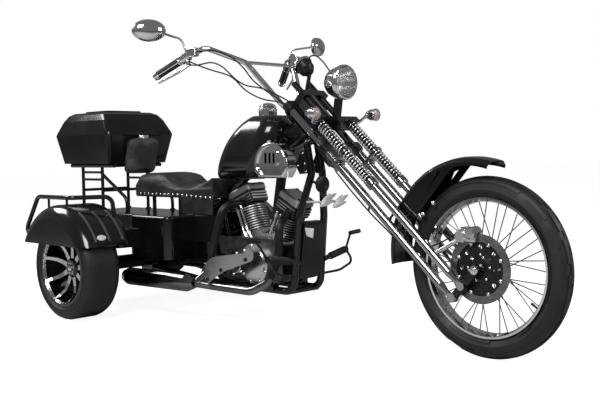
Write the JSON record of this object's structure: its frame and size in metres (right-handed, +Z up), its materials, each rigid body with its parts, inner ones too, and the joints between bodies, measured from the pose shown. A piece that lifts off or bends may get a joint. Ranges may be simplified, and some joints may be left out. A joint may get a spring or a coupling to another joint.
{
  "type": "motorized trike",
  "caption": "Chopper-style motorized trike with a raked springer fork, a laced front wheel, wide rear wheels on a live axle, a V-twin engine, a low saddle and a lockable tail box.",
  "frame": {"origin": "on the ground, midway between the front of the front tyre and the back of the tail box, on the centre plane", "axes": "+X forward, +Y to the rider's left, +Z up"},
  "size_m": [3.1034, 1.338, 1.386],
  "materials": {
    "gloss_black": "gloss black paint",
    "chrome": "polished chrome",
    "black_metal": "satin black paint",
    "bare_aluminium": "cast and polished aluminium",
    "exhaust_steel": "brushed steel",
    "tyre_rubber": "matte black rubber",
    "grip_rubber": "ribbed black rubber",
    "black_leather": "black leather, slightly worn",
    "box_plastic": "gloss black plastic",
    "lamp_plastic": "red lens"
  },
  "bodies": {
    "chassis": {"frame": "gloss_black", "engine_case": "bare_aluminium", "engine_cylinders": "bare_aluminium", "rocker_covers": "chrome", "air_cleaner": "chrome", "fuel_tank": "gloss_black", "filler_cap": "chrome", "exhaust": "exhaust_steel", "heat_shield": "exhaust_steel", "rear_axle": "black_metal", "drive_shaft": "black_metal", "rear_body": "gloss_black", "rear_fender_right": "gloss_black", "rear_fender_left": "gloss_black", "fender_guards": "gloss_black", "side_covers": "gloss_black", "saddle": "black_leather", "backrest": "black_leather", "box_rack": "gloss_black", "tail_box": "box_plastic", "front_cover": "gloss_black", "horn": "box_plastic", "wing_trim": "chrome", "foot_pegs": "grip_rubber", "foot_levers": "black_metal", "rear_lamps": "lamp_plastic"},
    "steering": {"fork_fixed_legs": "chrome", "fork_spring_legs": "chrome", "fork_springs": "chrome", "fork_lower_clamp": "gloss_black", "fork_top_clamp": "gloss_black", "spring_perch": "gloss_black", "fork_rockers": "black_metal", "handlebar": "chrome", "handlebar_grips": "grip_rubber", "hand_controls": "black_metal", "mirrors": "chrome", "turn_signals": "chrome", "headlamp": "chrome", "gauge": "chrome", "front_fender": "gloss_black", "brake_caliper": "bare_aluminium", "control_cables": "black_metal", "brake_line": "black_metal"},
    "front_wheel": {"front_tyre": "tyre_rubber", "front_wheel_rim": "chrome", "front_brake_disc": "exhaust_steel", "front_disc_carrier": "black_metal"},
    "rear_wheel_right": {"rear_tyre_right": "tyre_rubber", "rear_wheel_rim_right": "gloss_black"},
    "rear_wheel_left": {"rear_tyre_left": "tyre_rubber", "rear_wheel_rim_left": "gloss_black"},
    "box_lid": {"tail_box_lid": "box_plastic"}
  },
  "joints": [
    {"name": "steering", "type": "hinge", "parent": "chassis", "child": "steering", "pos_m": [0.42521, 0, 0.76235], "axis": [-0.7478, 0, 0.6639], "range_deg": [-35, 35]},
    {"name": "front_wheel_spin", "type": "hinge", "parent": "steering", "child": "front_wheel", "pos_m": [1.20425, 0, 0.3475], "axis": [0, 1, 0], "continuous": true},
    {"name": "rear_wheel_spin_right", "type": "hinge", "parent": "chassis", "child": "rear_wheel_right", "pos_m": [-0.79575, -0.555, 0.2485], "axis": [0, 1, 0], "continuous": true},
    {"name": "rear_wheel_spin_left", "type": "hinge", "parent": "chassis", "child": "rear_wheel_left", "pos_m": [-0.79575, 0.555, 0.2485], "axis": [0, 1, 0], "continuous": true},
    {"name": "lid_hinge", "type": "hinge", "parent": "chassis", "child": "box_lid", "pos_m": [-0.99775, 0, 0.905], "axis": [0, 1, 0], "range_deg": [0, 75]}
  ]
}
